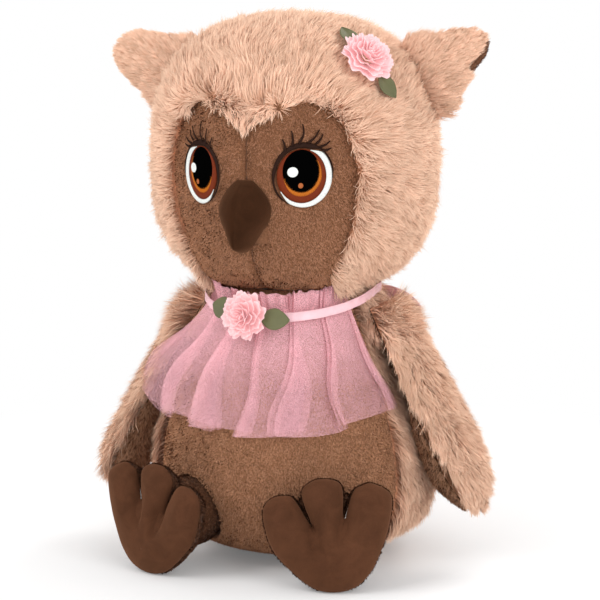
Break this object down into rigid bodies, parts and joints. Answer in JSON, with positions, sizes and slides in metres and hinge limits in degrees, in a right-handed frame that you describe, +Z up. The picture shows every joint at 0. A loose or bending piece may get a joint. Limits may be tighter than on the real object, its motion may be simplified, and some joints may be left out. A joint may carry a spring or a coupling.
{
  "type": "plush owl",
  "caption": "Sitting stuffed owl with fur head and wings, short-plush face and belly, three-toed feet with suede soles, gathered tulle cape, neck ribbon and ribbon rosettes.",
  "frame": {"origin": "under the middle of the toy's box, on the plane that it sits on", "axes": "+Z up, the owl faces -Y, +X towards the owl's own left"},
  "size_m": [0.2318, 0.1746, 0.3022],
  "materials": {
    "apricot_fur": "long soft pile",
    "brown_plush": "short pile",
    "dark_plush": "short pile",
    "suede": "napped suede cloth",
    "embroidery_thread": "satin stitch",
    "lash_thread": "satin stitch",
    "polyester_stuffing": "loose fibre",
    "bean_bag_cloth": "plain cloth",
    "pink_tulle": "fine net",
    "pink_satin": "satin",
    "olive_ribbon": "satin"
  },
  "bodies": {
    "torso": {"body_back_fur": "apricot_fur", "belly_panel": "brown_plush", "base_panel": "brown_plush", "body_stuffing": "polyester_stuffing", "bean_bag": "bean_bag_cloth", "tulle_cape": "pink_tulle", "neck_ribbon": "pink_satin", "ribbon_bow_loops": "pink_satin", "ribbon_bow_knot": "pink_satin", "ribbon_tails": "pink_satin", "chest_rosette": "pink_satin", "chest_leaf_left": "olive_ribbon", "chest_leaf_right": "olive_ribbon"},
    "head": {"head_fur_shell": "apricot_fur", "head_stuffing": "polyester_stuffing", "face_panel_left": "brown_plush", "face_panel_right": "brown_plush", "left_eye": "embroidery_thread", "right_eye": "embroidery_thread", "left_eyelashes": "lash_thread", "right_eyelashes": "lash_thread", "beak": "suede", "head_rosette": "pink_satin", "head_leaf_upper": "olive_ribbon", "head_leaf_lower": "olive_ribbon"},
    "left_ear": {"left_ear_fur": "apricot_fur", "left_ear_lining": "brown_plush"},
    "right_ear": {"right_ear_fur": "apricot_fur", "right_ear_lining": "brown_plush"},
    "left_wing": {"left_wing_fur": "apricot_fur", "left_wing_lining": "dark_plush", "left_wing_wadding": "polyester_stuffing"},
    "right_wing": {"right_wing_fur": "apricot_fur", "right_wing_lining": "dark_plush", "right_wing_wadding": "polyester_stuffing"},
    "left_leg_and_foot": {"left_leg": "dark_plush", "left_foot_upper": "dark_plush", "left_foot_sole": "suede", "left_foot_stuffing": "polyester_stuffing"},
    "right_leg_and_foot": {"right_leg": "dark_plush", "right_foot_upper": "dark_plush", "right_foot_sole": "suede", "right_foot_stuffing": "polyester_stuffing"}
  },
  "joints": [
    {"name": "head_turn", "type": "hinge", "parent": "torso", "child": "head", "pos_m": [0, 0.01033, 0.15315], "axis": [0, 0, 1], "range_deg": [-25, 25], "stiffness_Nm_per_rad": 0.3},
    {"name": "left_ear_flex", "type": "hinge", "parent": "head", "child": "left_ear", "pos_m": [0.07438, 0.01909, 0.2675], "axis": [0.4695, 0, -0.8829], "range_deg": [-15, 15], "stiffness_Nm_per_rad": 0.1},
    {"name": "right_ear_flex", "type": "hinge", "parent": "head", "child": "right_ear", "pos_m": [-0.07477, 0.01913, 0.26669], "axis": [0.515, 0, 0.8572], "range_deg": [-15, 15], "stiffness_Nm_per_rad": 0.1},
    {"name": "left_wing_lift", "type": "hinge", "parent": "torso", "child": "left_wing", "pos_m": [0.05359, 0.01033, 0.133], "axis": [0, -1, 0], "range_deg": [0, 70]},
    {"name": "right_wing_lift", "type": "hinge", "parent": "torso", "child": "right_wing", "pos_m": [-0.05359, 0.01033, 0.133], "axis": [0, 1, 0], "range_deg": [0, 70]},
    {"name": "left_leg_swing", "type": "hinge", "parent": "torso", "child": "left_leg_and_foot", "pos_m": [0.03963, -0.04752, 0.03], "axis": [1, 0, 0], "range_deg": [-15, 20], "stiffness_Nm_per_rad": 0.5},
    {"name": "right_leg_swing", "type": "hinge", "parent": "torso", "child": "right_leg_and_foot", "pos_m": [-0.03963, -0.04752, 0.03], "axis": [1, 0, 0], "range_deg": [-15, 20], "stiffness_Nm_per_rad": 0.5}
  ]
}
